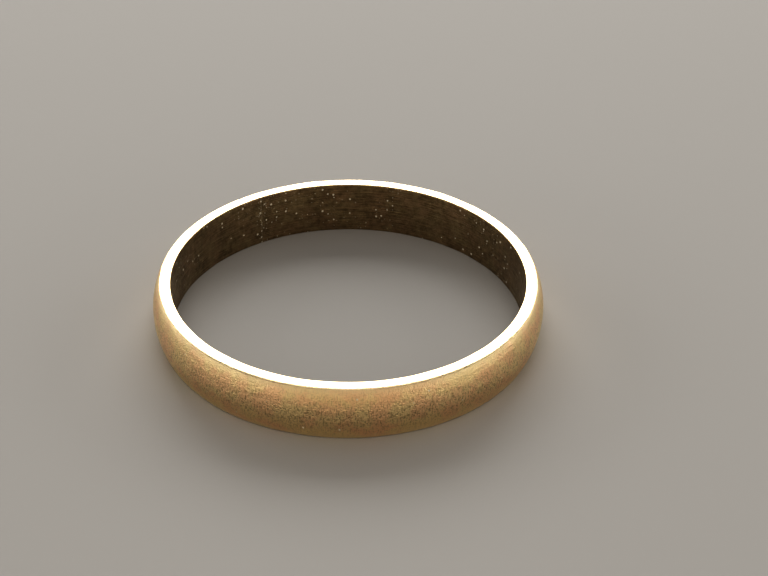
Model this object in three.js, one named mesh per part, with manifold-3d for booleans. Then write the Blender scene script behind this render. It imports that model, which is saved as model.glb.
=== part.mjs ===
// A plain wedding band of D section: a flat wall inside, flat rims and a low dome outside.
// It is made as a goldsmith makes one. Half-round wire is bent round until its two ends meet,
// and the joint is run with hard solder, so the band is a shank and a thin wafer of solder.
// Units are millimetres. +Z is the finger's axis, and the lower rim lies on z = 0.
import * as THREE from "three";
import { mergeVertices } from "three/addons/utils/BufferGeometryUtils.js";
import Module from "manifold-3d";

// Driving dimensions, in millimetres and degrees.
const boreDiameter = 18.5; // the finger's hole
const bandWidth = 3.0; // rim to rim, along the finger
const edgeThickness = 0.6; // the wall where the dome and a rim would meet if the arris were sharp
const domeRise = 0.38; // how far the crown of the dome stands above the edges
const arrisRadius = 0.16; // the worn rounding between a rim and the dome
const boreEdgeRadius = 0.08; // the rounding between a rim and the bore
const jointGap = 0.1; // the width of the soldered joint, along the circumference
const jointAngle = 122; // where the joint is, from +X about +Z

// How finely the curves are cut into facets.
const stepsRound = 120;
const stepsDome = 14;
const stepsArris = 5;
const stepsBoreEdge = 4;

// The dome is an arc through both sharp edges and the crown, and the arris is an arc that touches
// the rim and the dome, so the centres of both follow from the sizes above.
const boreRadius = boreDiameter / 2;
const crownRadius = boreRadius + edgeThickness + domeRise;
const halfWidth = bandWidth / 2;
const domeRadius = (halfWidth ** 2 + domeRise ** 2) / (2 * domeRise);
const domeCentre = crownRadius - domeRadius;
const arris = Math.min(arrisRadius, 0.9 * halfWidth, 0.9 * edgeThickness);
const boreEdge = Math.min(boreEdgeRadius, 0.4 * edgeThickness);
const arrisCentre = domeCentre + Math.sqrt((domeRadius - arris) ** 2 - (halfWidth - arris) ** 2);
const domeTilt = Math.asin((halfWidth - arris) / (domeRadius - arris));

/** Points along an arc in the section plane, where x is the radius and y the height. */
function arcPoints(centreX, centreY, radius, from, to, steps) {
  const points = [];
  for (let i = 0; i <= steps; i++) {
    const angle = from + ((to - from) * i) / steps;
    points.push(new THREE.Vector2(centreX + radius * Math.cos(angle), centreY + radius * Math.sin(angle)));
  }
  return points;
}

/** The D section, anticlockwise from the lower rim's outer end, and closed on its first point. */
function sectionPoints() {
  const quarter = Math.PI / 2;
  const boreEdgeX = boreRadius + boreEdge;
  const top = bandWidth - arris;
  const points = [
    ...arcPoints(arrisCentre, arris, arris, -quarter, -domeTilt, stepsArris),
    ...arcPoints(domeCentre, halfWidth, domeRadius, -domeTilt, domeTilt, stepsDome).slice(1, -1),
    ...arcPoints(arrisCentre, top, arris, domeTilt, quarter, stepsArris),
    ...arcPoints(boreEdgeX, bandWidth - boreEdge, boreEdge, quarter, 2 * quarter, stepsBoreEdge),
    ...arcPoints(boreEdgeX, boreEdge, boreEdge, 2 * quarter, 3 * quarter, stepsBoreEdge),
  ];
  return [...points, points[0].clone()];
}

const wasm = await Module();
wasm.setup();

/** A closed geometry as a solid that can be joined and cut. */
function solidOf(geometry) {
  const bare = geometry.clone().deleteAttribute("normal").deleteAttribute("uv");
  const merged = mergeVertices(bare, 1e-4);
  return new wasm.Manifold(
    new wasm.Mesh({
      numProp: 3,
      vertProperties: merged.attributes.position.array,
      triVerts: new Uint32Array(merged.index.array),
    }),
  );
}

/** A solid as a named mesh with its own material. */
function meshOf(name, solid, material) {
  const { vertProperties, triVerts } = solid.getMesh();
  const geometry = new THREE.BufferGeometry();
  geometry.setAttribute("position", new THREE.BufferAttribute(vertProperties, 3));
  geometry.setIndex(new THREE.BufferAttribute(triVerts, 1));
  geometry.computeVertexNormals();
  const mesh = new THREE.Mesh(geometry, material);
  mesh.name = name;
  return mesh;
}

/** The whole ring of metal, before it is told apart into wire and solder. */
function ringSolid() {
  const lathe = new THREE.LatheGeometry(sectionPoints(), stepsRound);
  lathe.rotateX(Math.PI / 2);
  return solidOf(lathe);
}

/** The slot between the wire's two ends: a thin slab across the section, at the joint's angle. */
function jointSolid() {
  const margin = 1;
  const reach = crownRadius - boreRadius + 2 * margin;
  const slab = new THREE.BoxGeometry(reach, jointGap, bandWidth + 2 * margin);
  slab.translate((boreRadius + crownRadius) / 2, 0, halfWidth);
  slab.rotateZ(THREE.MathUtils.degToRad(jointAngle));
  return solidOf(slab);
}

const ring = ringSolid();
const joint = jointSolid();

const gold = new THREE.MeshStandardMaterial({ color: 0xc79d66, roughness: 0.42, metalness: 1 });
const hardSolder = new THREE.MeshStandardMaterial({ color: 0xcdb183, roughness: 0.5, metalness: 1 });

const band = new THREE.Group();
band.name = "wedding_band";
band.add(meshOf("shank", ring.subtract(joint), gold));
band.add(meshOf("solder_seam", ring.intersect(joint), hardSolder));

export default band;
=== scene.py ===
import math

import bpy
import numpy as np
from mathutils import Matrix, Vector


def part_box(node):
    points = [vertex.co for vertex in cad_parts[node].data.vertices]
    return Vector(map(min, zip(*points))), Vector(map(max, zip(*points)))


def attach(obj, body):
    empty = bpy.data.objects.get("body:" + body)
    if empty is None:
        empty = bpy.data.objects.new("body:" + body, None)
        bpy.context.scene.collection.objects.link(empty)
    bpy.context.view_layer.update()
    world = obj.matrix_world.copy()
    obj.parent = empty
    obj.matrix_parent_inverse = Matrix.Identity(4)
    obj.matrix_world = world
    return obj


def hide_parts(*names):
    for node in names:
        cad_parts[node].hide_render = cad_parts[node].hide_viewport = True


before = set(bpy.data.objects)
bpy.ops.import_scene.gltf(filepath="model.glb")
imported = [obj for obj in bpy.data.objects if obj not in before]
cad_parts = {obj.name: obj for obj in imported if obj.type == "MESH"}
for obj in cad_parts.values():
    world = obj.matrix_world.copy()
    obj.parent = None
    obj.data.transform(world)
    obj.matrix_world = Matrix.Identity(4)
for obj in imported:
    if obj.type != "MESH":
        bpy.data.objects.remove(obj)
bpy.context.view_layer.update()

# ---- The camera ---------------------------------------------------------------------------
# A short telephoto lens stands in front of the band, about nine centimetres away and 35
# degrees above the table. It aims a little to the right of the finger hole's middle.
mm = 0.001
camera_distance = 90.5 * mm
camera_elevation = math.radians(35.04)
camera_aim = Vector((1.88, 0.97, 1.5)) * mm
camera_roll = math.radians(0.665)

lens = bpy.data.cameras.new("studio_camera")
lens.sensor_width = 36
lens.lens = 79.7
lens.clip_start = 5 * mm
lens.clip_end = 20
camera = bpy.data.objects.new("studio_camera", lens)
bpy.context.scene.collection.objects.link(camera)
camera_way = Vector((0, -math.cos(camera_elevation), math.sin(camera_elevation)))
camera.location = camera_distance * camera_way
camera_turn = (camera_aim - camera.location).to_track_quat("-Z", "Y").to_matrix()
camera.rotation_euler = (camera_turn @ Matrix.Rotation(camera_roll, 3, "Z")).to_euler()
bpy.context.scene.camera = camera

# ---- The table ----------------------------------------------------------------------------
# A plain pale matte table top, which the band lies on. It is not part of the object.
table_half = 0.30
table_mesh = bpy.data.meshes.new("table_top")
table_mesh.from_pydata(
    [(x * table_half, y * table_half, 0) for x, y in ((-1, -1), (1, -1), (1, 1), (-1, 1))],
    [],
    [(0, 1, 2, 3)],
)
table_top = bpy.data.objects.new("table_top", table_mesh)
bpy.context.scene.collection.objects.link(table_top)
table_paint = bpy.data.materials.new("table_paint")
table_paint.use_nodes = True
table_shader = table_paint.node_tree.nodes["Principled BSDF"]
table_shader.inputs["Base Color"].default_value = (0.55, 0.54, 0.525, 1)
table_shader.inputs["Roughness"].default_value = 0.9
table_shader.inputs["Specular IOR Level"].default_value = 0.2
table_mesh.materials.append(table_paint)

# ---- The lights ---------------------------------------------------------------------------
# A bright softbox behind the band stands where the flat rims mirror it to the camera. A weak
# arch overhead and a weak panel above the camera light the rounded edges, and low panels in
# front and at both sides light the upper part of the dome and leave its foot in shade.


def softbox(name, azimuth, elevation, distance, width, height, radiance, colour):
    """A rectangular lamp facing the band. Azimuth turns from +Y towards +X, in degrees.

    Distance, width and height are in metres, and the power is radiance times pi times area.
    """
    lamp = bpy.data.lights.new(name, "AREA")
    lamp.shape = "RECTANGLE"
    lamp.size = width
    lamp.size_y = height
    lamp.energy = radiance * math.pi * width * height
    lamp.color = colour
    turn = math.radians(azimuth)
    rise = math.radians(elevation)
    level_way = Vector((math.sin(turn), math.cos(turn), 0))
    way = level_way * math.cos(rise) + Vector((0, 0, math.sin(rise)))
    holder = bpy.data.objects.new(name, lamp)
    holder.location = way * distance
    holder.rotation_euler = way.to_track_quat("Z", "Y").to_euler()
    bpy.context.scene.collection.objects.link(holder)


softbox(
    "softbox_behind", azimuth=0, elevation=32, distance=0.40,
    width=0.36, height=0.23, radiance=3.3, colour=(1.0, 0.98, 0.95),
)
softbox(
    "arch_overhead", azimuth=0, elevation=96, distance=0.42,
    width=0.28, height=0.90, radiance=0.60, colour=(1.0, 0.95, 0.88),
)
softbox(
    "panel_in_front", azimuth=180, elevation=11, distance=0.50,
    width=0.66, height=0.16, radiance=0.74, colour=(1.0, 0.84, 0.69),
)
softbox(
    "panel_above_camera", azimuth=180, elevation=36, distance=0.50,
    width=0.90, height=0.22, radiance=0.30, colour=(1.0, 0.89, 0.76),
)
for side, name in ((-1, "left"), (1, "right")):
    softbox(
        "wing_" + name, azimuth=side * 62, elevation=14, distance=0.42,
        width=0.28, height=0.20, radiance=1.65, colour=(1.0, 0.98, 0.95),
    )
    softbox(
        "panel_" + name, azimuth=side * 114, elevation=11, distance=0.45,
        width=0.48, height=0.14, radiance=1.36, colour=(1.0, 0.97, 0.92),
    )

# The air round the set is nearly dark, and only looks pale above the table's far edge.
air_light = 0.01
air_look = 0.40
world = bpy.data.worlds.new("studio_air")
world.use_nodes = True
air = world.node_tree.nodes["Background"]
air.inputs["Color"].default_value = (1.0, 0.98, 0.95, 1)
seen = world.node_tree.nodes.new("ShaderNodeLightPath")
strength = world.node_tree.nodes.new("ShaderNodeMath")
strength.operation = "MULTIPLY_ADD"
strength.inputs[1].default_value = air_look - air_light
strength.inputs[2].default_value = air_light
world.node_tree.links.new(seen.outputs["Is Camera Ray"], strength.inputs[0])
world.node_tree.links.new(strength.outputs[0], air.inputs["Strength"])
bpy.context.scene.world = world
bpy.context.scene.view_settings.view_transform = "Standard"
bpy.context.scene.view_settings.gamma = 0.75
bpy.context.scene.view_settings.exposure = 0.60

# ---- The shank ----------------------------------------------------------------------------
# Half-round gold wire, 3 mm wide, bent round until its two ends meet at the soldered joint.
# Years on a finger have rounded its edges unevenly, rubbed the rims smooth and shiny and left
# the dome matte, with shallow flats and a few nicks along the edges. The rims' paler colour is
# a painted highlight.
shank_low, shank_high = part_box("shank")
band_width = shank_high.z - shank_low.z
crown_radius = (shank_high.x - shank_low.x) / 2
edge_thickness = 0.60 * mm
dome_rise = 0.38 * mm
arris_radius = 0.16 * mm
bore_edge_radius = 0.08 * mm
joint_gap = 0.1 * mm
joint_angle = math.radians(122)
bore_radius = crown_radius - edge_thickness - dome_rise
arris_steps = 8
dome_steps = 44
rim_steps = 5
bore_edge_steps = 6
bore_steps = 32


def arc(centre_r, centre_z, radius, start, end, steps):
    """Points on a circular arc of the section: radius from the axis, and height."""
    turn = np.linspace(start, end, steps + 1)
    return np.stack([centre_r + radius * np.cos(turn), centre_z + radius * np.sin(turn)], 1)


def straight(start, end, steps):
    """Evenly spaced points between two points of the section, without the two themselves."""
    share = np.linspace(0, 1, steps + 1)[1:-1, None]
    return np.asarray(start) * (1 - share) + np.asarray(end) * share


def half_round_section():
    """The D section as a closed loop, anticlockwise from the lower rim's outer end.

    The dome is the arc through both sharp edges and the crown, the arrises are arcs that
    touch a rim and the dome, and the bore's edges are quarter circles.
    """
    half = band_width / 2
    quarter = math.pi / 2
    dome_radius = (half**2 + dome_rise**2) / (2 * dome_rise)
    dome_centre = crown_radius - dome_radius
    apart = dome_radius - arris_radius
    arris_centre = dome_centre + math.sqrt(apart**2 - (half - arris_radius) ** 2)
    tilt = math.asin((half - arris_radius) / apart)
    edge_r = bore_radius + bore_edge_radius
    edge_z = band_width - bore_edge_radius
    parts = [
        arc(arris_centre, arris_radius, arris_radius, -quarter, -tilt, arris_steps),
        arc(dome_centre, half, dome_radius, -tilt, tilt, dome_steps)[1:-1],
        arc(arris_centre, band_width - arris_radius, arris_radius, tilt, quarter, arris_steps),
        straight((arris_centre, band_width), (edge_r, band_width), rim_steps),
        arc(edge_r, edge_z, bore_edge_radius, quarter, 2 * quarter, bore_edge_steps),
        straight((bore_radius, edge_z), (bore_radius, bore_edge_radius), bore_steps),
        arc(edge_r, bore_edge_radius, bore_edge_radius, 2 * quarter, 3 * quarter, bore_edge_steps),
        straight((edge_r, 0), (arris_centre, 0), rim_steps),
    ]
    return np.concatenate(parts)


def ripple(draws, angle, across, lowest, highest, waves):
    """Smooth unevenness between about -1 and 1: a sum of plane waves over the wrapped surface.

    Each wave has a whole number of turns round the band, so the sum meets itself.
    """
    total = np.zeros(np.broadcast(angle, across).shape)
    for _ in range(waves):
        turns = draws.integers(lowest, highest + 1)
        slant = draws.normal(0, 0.5) * turns / crown_radius
        total += np.sin(turns * angle + slant * across + draws.uniform(0, 2 * math.pi))
    return total / math.sqrt(waves)


section = half_round_section()
step = np.roll(section, -1, 0) - section
section_along = np.concatenate([[0], np.cumsum(np.hypot(*step.T))])
ahead = np.roll(section, -1, 0) - np.roll(section, 1, 0)
section_normal = np.stack([ahead[:, 1], -ahead[:, 0]], 1) / np.hypot(*ahead.T)[:, None]
wear_seed = 11
flat_height = 0.0035 * mm
rounding_height = 0.004 * mm
inner_rounding_height = 0.003 * mm
worn_off_edges = 0.004 * mm
nick_count = 26


def near_edge(radius, height, edge_radius, reach):
    """1 on the two edges at the given distance from the axis, fading to 0 over reach."""
    level = np.minimum(height, band_width - height)
    return np.exp(-(((radius - edge_radius) / reach) ** 2) - (level / reach) ** 2)


def wear(angle, radius, height):
    """How far the surface stands out from the drawn section at each place, in metres.

    Shallow flats all over, uneven rounding of the outer edges, and a few round-bottomed nicks.
    """
    draws = np.random.default_rng(wear_seed)
    edge_place = crown_radius - dome_rise
    edges = near_edge(radius, height, edge_place, 0.30 * mm)
    inner_edges = near_edge(radius, height, bore_radius, 0.20 * mm)
    flats = ripple(draws, angle, height, 2, 26, 22) * flat_height
    rounding = ripple(draws, angle, height, 4, 40, 40) * rounding_height * edges
    inner_rounding = ripple(draws, angle, height, 4, 40, 30) * inner_rounding_height * inner_edges
    out = flats + rounding + inner_rounding - worn_off_edges * edges
    for _ in range(nick_count):
        place = draws.uniform(0, 2 * math.pi)
        reach = draws.uniform(0.04, 0.11) * mm
        depth = draws.uniform(0.12, 0.26) * reach
        level = draws.choice([0, 1]) * band_width + draws.normal(0, 0.06) * mm
        turn = (angle - place + math.pi) % (2 * math.pi) - math.pi
        gap = (turn * radius / reach) ** 2 + ((height - level) / reach / 1.5) ** 2
        gap = gap + ((radius - edge_place) / (3 * reach)) ** 2
        out = out - depth * np.exp(-gap)
    return out


def wrapped(name, angle):
    """A closed mesh of the section carried round the finger's axis, capped at both ends.

    angle has one row for each station along the wire and one column for each point of the
    section. A point lies at (radius cos angle, radius sin angle, height), after wear has moved
    it along the section's normal. The UV map is the surface unrolled, in millimetres: along the
    wire, and across it. The masks for the material run from 0 to 1.
    """
    stations, points = angle.shape
    radius = section[:, 0] + np.zeros_like(angle)
    height = section[:, 1] + np.zeros_like(angle)
    out = wear(angle, radius, height)
    radius = radius + out * section_normal[:, 0]
    height = np.clip(height + out * section_normal[:, 1], 0, band_width)
    place = np.stack([radius * np.cos(angle), radius * np.sin(angle), height], 2)
    here = np.arange(stations * points).reshape(stations, points)
    there = np.roll(here, -1, 1)
    quads = np.stack([here[:-1], here[1:], there[1:], there[:-1]], 2).reshape(-1, 4)
    mesh = bpy.data.meshes.new(name)
    caps = [here[0].tolist(), here[-1][::-1].tolist()]
    mesh.from_pydata(place.reshape(-1, 3), [], quads.tolist() + caps)
    mesh.update()

    along = angle * crown_radius / mm
    across = np.broadcast_to(section_along / mm, (stations, points + 1))
    along = np.concatenate([along, along[:, :1]], 1)
    corners = [
        np.stack([along[rows, columns], across[rows, columns]], 2)
        for rows, columns in (
            (slice(None, -1), slice(None, -1)),
            (slice(1, None), slice(None, -1)),
            (slice(1, None), slice(1, None)),
            (slice(None, -1), slice(1, None)),
        )
    ]
    unrolled = np.stack(corners, 2).reshape(-1, 2)
    cap_uv = np.concatenate([section, section[::-1]]) / mm
    layer = mesh.uv_layers.new(name="unrolled")
    layer.uv.foreach_set("vector", np.concatenate([unrolled, cap_uv]).astype(np.float32).ravel())

    edge = near_edge(radius, height, crown_radius - dome_rise, 0.36 * mm)
    rim = 1 - np.clip(np.minimum(height, band_width - height) / (0.05 * mm), 0, 1)
    bore = 1 - np.clip((radius - bore_radius) / (0.05 * mm), 0, 1)
    crown = np.exp(-(((height - band_width / 2) / (0.85 * mm)) ** 2)) * (1 - bore)
    joint_turn = (angle - joint_angle + math.pi) % (2 * math.pi) - math.pi
    beside_joint = np.exp(-((joint_turn * crown_radius / (0.30 * mm)) ** 2))
    masks = {"edge": edge, "rim": rim, "crown": crown, "bore": bore, "beside_joint": beside_joint}
    for mask, values in masks.items():
        stored = mesh.attributes.new(mask, "FLOAT", "POINT")
        stored.data.foreach_set("value", values.astype(np.float32).ravel())
    ends = np.zeros(len(mesh.edges) * 2, np.int32)
    mesh.edges.foreach_get("vertices", ends)
    edge_stations = ends.reshape(-1, 2) // points
    round_cap = (edge_stations == 0).all(1) | (edge_stations == stations - 1).all(1)
    mesh.attributes.new("sharp_edge", "BOOLEAN", "EDGE").data.foreach_set("value", round_cap)
    smooth = np.ones(len(mesh.polygons), bool)
    smooth[-2:] = False
    mesh.polygons.foreach_set("use_smooth", smooth)
    piece = bpy.data.objects.new(name, mesh)
    bpy.context.scene.collection.objects.link(piece)
    return piece


# Painted highlight: the paler gold that the rims and rounded outer edges are painted towards.
rubbed_highlight_gold = (0.92, 0.79, 0.52, 1)
pale_dust = (0.84, 0.76, 0.58, 1)
relief_height = 0.030 * mm


class Signal:
    """A value that varies over a surface. Arithmetic on it adds Math nodes to its material."""

    def __init__(self, tree, socket=None):
        self.tree = tree
        self.socket = socket

    def node(self, kind, settings=None, inputs=None, output=0):
        """Adds any other node: its settings first, then the values or links of its sockets."""
        made = self.tree.nodes.new(kind)
        for name, value in (settings or {}).items():
            setattr(made, name, value)
        for name, value in (inputs or {}).items():
            if isinstance(value, Signal):
                self.tree.links.new(value.socket, made.inputs[name])
            else:
                made.inputs[name].default_value = value
        return Signal(self.tree, made.outputs[output])

    def math(self, operation, first, second=0.0):
        return self.node("ShaderNodeMath", {"operation": operation}, {0: first, 1: second})

    def __add__(self, other):
        return self.math("ADD", self, other)

    def __sub__(self, other):
        return self.math("SUBTRACT", self, other)

    def __mul__(self, other):
        return self.math("MULTIPLY", self, other)

    def __radd__(self, other):
        return self.math("ADD", other, self)

    def __rsub__(self, other):
        return self.math("SUBTRACT", other, self)

    def __rmul__(self, other):
        return self.math("MULTIPLY", other, self)

    def highest(self, other):
        return self.math("MAXIMUM", self, other)

    def below(self, limit):
        """1 where this is less than the limit, else 0."""
        return self.math("LESS_THAN", self, limit)

    def between(self, low, high):
        """0 below low, 1 above high, and smooth between them."""
        return self.node(
            "ShaderNodeMapRange",
            {"interpolation_type": "SMOOTHSTEP"},
            {"Value": self, "From Min": low, "From Max": high},
        )

    def mixed(self, first, second):
        """The first colour where this is 0, and the second where it is 1."""
        settings = {"data_type": "RGBA", "clamp_factor": True}
        return self.node("ShaderNodeMix", settings, {0: self, 6: first, 7: second}, 2)

    def noise(self, size, detail=2.0, roughness=0.5, stretch=(1, 1, 1), turn=0.0):
        """Cloudy noise from 0 to 1 in this coordinate, with lumps of about the given size."""
        scale = tuple(1 / (size * part) for part in stretch)
        placing = {"Vector": self, "Rotation": (0, 0, turn), "Scale": scale}
        laid = self.node("ShaderNodeMapping", None, placing)
        sockets = {"Vector": laid, "Scale": 1.0, "Detail": detail, "Roughness": roughness}
        return self.node("ShaderNodeTexNoise", None, sockets)

    def specks(self, cell, radius, share):
        """1 on a round speck in some of the cells of a flat grid in this coordinate, else 0."""
        laid = self.node("ShaderNodeMapping", None, {"Vector": self, "Scale": (1 / cell,) * 3})
        flat = {"voronoi_dimensions": "2D"}
        gap = self.node("ShaderNodeTexVoronoi", flat, {"Vector": laid, "Scale": 1.0}, "Distance")
        dice = self.node("ShaderNodeTexVoronoi", flat, {"Vector": laid, "Scale": 1.0}, "Color")
        drawn = self.node("ShaderNodeSeparateColor", None, {"Color": dice}, "Red")
        size = self.node("ShaderNodeSeparateColor", None, {"Color": dice}, "Green")
        inside = gap.below((size + 0.3) * (radius / cell))
        return inside * drawn.below(share)


def worn_gold(name, yellowish, pinkish, shadowed):
    """Yellow gold as wear leaves it: matte grained dome, rubbed edges with a painted highlight,
    streaked bore with painted shade.

    The gold drifts between its two hues over a millimetre or so. Shadowed is painted shade: it
    darkens the low spots of the dome's grain relief and nearly the whole bore.
    """
    material = bpy.data.materials.new(name)
    material.use_nodes = True
    tree = material.node_tree
    shader = tree.nodes["Principled BSDF"]
    start = Signal(tree)
    solid = start.node("ShaderNodeTexCoord", None, None, "Object")
    unrolled = start.node("ShaderNodeUVMap", {"uv_map": "unrolled"})
    edge = start.node("ShaderNodeAttribute", {"attribute_name": "edge"}, None, "Fac")
    rim = start.node("ShaderNodeAttribute", {"attribute_name": "rim"}, None, "Fac")
    crown = start.node("ShaderNodeAttribute", {"attribute_name": "crown"}, None, "Fac")
    bore = start.node("ShaderNodeAttribute", {"attribute_name": "bore"}, None, "Fac")
    beside_joint = start.node("ShaderNodeAttribute", {"attribute_name": "beside_joint"}, None, "Fac")
    outside = 1 - bore
    dome = (1 - rim) * outside

    patches = solid.noise(1.3 * mm, 3.0, 0.6).between(0.38, 0.62)
    clouds = solid.noise(0.30 * mm, 4.0, 0.6)
    grain = solid.noise(0.05 * mm, 1.0, 0.6)
    coarse_grain = solid.noise(0.09 * mm, 1.0, 0.6)
    upright = unrolled.noise(0.06, 1.0, 0.5, (1, 6, 1))
    sweeps = unrolled.noise(0.32, 2.0, 0.5, (9, 1, 1))
    streaks = unrolled.noise(0.05, 3.0, 0.6, (40, 1, 1))
    fine_streaks = unrolled.noise(0.02, 2.0, 0.6, (60, 1, 1))
    scratches = unrolled.noise(0.03, 1.0, 0.5, (1, 40, 1), 0.9).between(0.66, 0.76)
    cross_scratches = unrolled.noise(0.03, 1.0, 0.5, (1, 36, 1), -0.7).between(0.66, 0.76)
    scuffs = scratches.highest(cross_scratches)
    dusty = unrolled.noise(3.5, 1.0).between(0.42, 0.60)
    lint = unrolled.specks(0.34, 0.055, beside_joint * 0.5 + dusty * 0.16 + 0.05) * bore
    crumbs = unrolled.specks(0.17, 0.036, beside_joint * 0.45 + dusty * 0.12) * bore * 0.45
    dust = lint.highest(crumbs) + unrolled.specks(0.9, 0.04, 0.10) * dome

    hue = patches.mixed(yellowish, pinkish)
    # Painted shade: the low spots of the dome's grain relief are darkened, more on the crown than
    # near the edges.
    pit_shade = (coarse_grain * 0.35 + grain * 0.35 + upright * 0.3).between(0.52, 0.40) * dome
    with_pit_shade = (pit_shade * (crown * 0.44 + 0.18)).mixed(hue, shadowed)
    # Painted shade: the bore is darkened almost to the dark colour, streaked and clouded along the
    # band, standing for the shade inside the band.
    bore_shade = ((streaks - 0.5) * 0.7 + (clouds - 0.5) * 0.6 + 0.86) * bore
    with_bore_shade = bore_shade.mixed(with_pit_shade, shadowed)
    # Painted highlight: the rims, and more faintly the rounded outer edges, are paled towards a
    # whiter gold.
    pale = (rim.highest(edge * 0.6) * outside).mixed(with_bore_shade, rubbed_highlight_gold)
    colour = dust.mixed(pale, pale_dust)
    metal = 1 - dust

    matte = 0.20 + grain * 0.12 + clouds * 0.12 + edge * 0.12 - scuffs * 0.04
    bright = 0.18 + clouds * 0.10 + scuffs * 0.06
    satin = 0.26 + streaks * 0.22
    rough = matte * dome + bright * outside * rim + satin * bore + dust * 0.5

    grained = grain * 0.45 + coarse_grain * 0.8 + upright * 0.5 - scuffs * 0.2
    dome_relief = grained * (crown * 0.8 + 0.8) + sweeps * 0.6
    rim_relief = fine_streaks * 0.07 - scuffs * 0.02 + coarse_grain * 0.05
    bore_relief = streaks * 0.8 + fine_streaks * 0.3 + grain * 0.2 - scuffs * 0.06 + dust * 0.3
    relief = dome_relief * dome + rim_relief * outside * rim + bore_relief * bore
    bump = {"Height": relief, "Strength": 1.0, "Distance": relief_height}
    bumped = relief.node("ShaderNodeBump", None, bump)

    tree.links.new(colour.socket, shader.inputs["Base Color"])
    tree.links.new(metal.socket, shader.inputs["Metallic"])
    tree.links.new(rough.socket, shader.inputs["Roughness"])
    tree.links.new(bumped.socket, shader.inputs["Normal"])
    return material


reach_of_gap = np.arcsin(joint_gap / 2 / section[:, 0])
stations_round = 720
share_round = np.linspace(0, 1, stations_round + 1)[:, None]
shank_angle = joint_angle + reach_of_gap + share_round * (2 * math.pi - 2 * reach_of_gap)
shank = wrapped("worn_shank", shank_angle)
yellow_gold = (0.88, 0.69, 0.37, 1)
pinkish_gold = (0.90, 0.61, 0.35, 1)
# Painted shade: this dark colour darkens the low spots of the dome's grain and nearly the whole
# bore.
painted_shade_on_gold = (0.16, 0.11, 0.052, 1)
shank.data.materials.append(worn_gold("gold_alloy", yellow_gold, pinkish_gold, painted_shade_on_gold))
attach(shank, "root")
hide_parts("shank")

# ---- The solder seam ----------------------------------------------------------------------
# A wafer of hard solder between the wire's two ends, a shade paler than the gold. It was
# filed flush with the wire and has worn down with it.
solder_clearance = 0.001 * mm
seam_stations = 5
share_seam = np.linspace(-1, 1, seam_stations)[:, None]
half_seam = np.arcsin((joint_gap / 2 - solder_clearance) / section[:, 0])
seam_angle = joint_angle + share_seam * half_seam
seam = wrapped("flush_seam", seam_angle)
yellow_solder = (0.88, 0.72, 0.44, 1)
pinkish_solder = (0.88, 0.66, 0.42, 1)
# Painted shade: the same dark colour for the solder's grain low spots and its part of the bore.
painted_shade_on_solder = (0.23, 0.17, 0.09, 1)
seam.data.materials.append(worn_gold("gold_solder", yellow_solder, pinkish_solder, painted_shade_on_solder))
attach(seam, "root")
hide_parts("solder_seam")
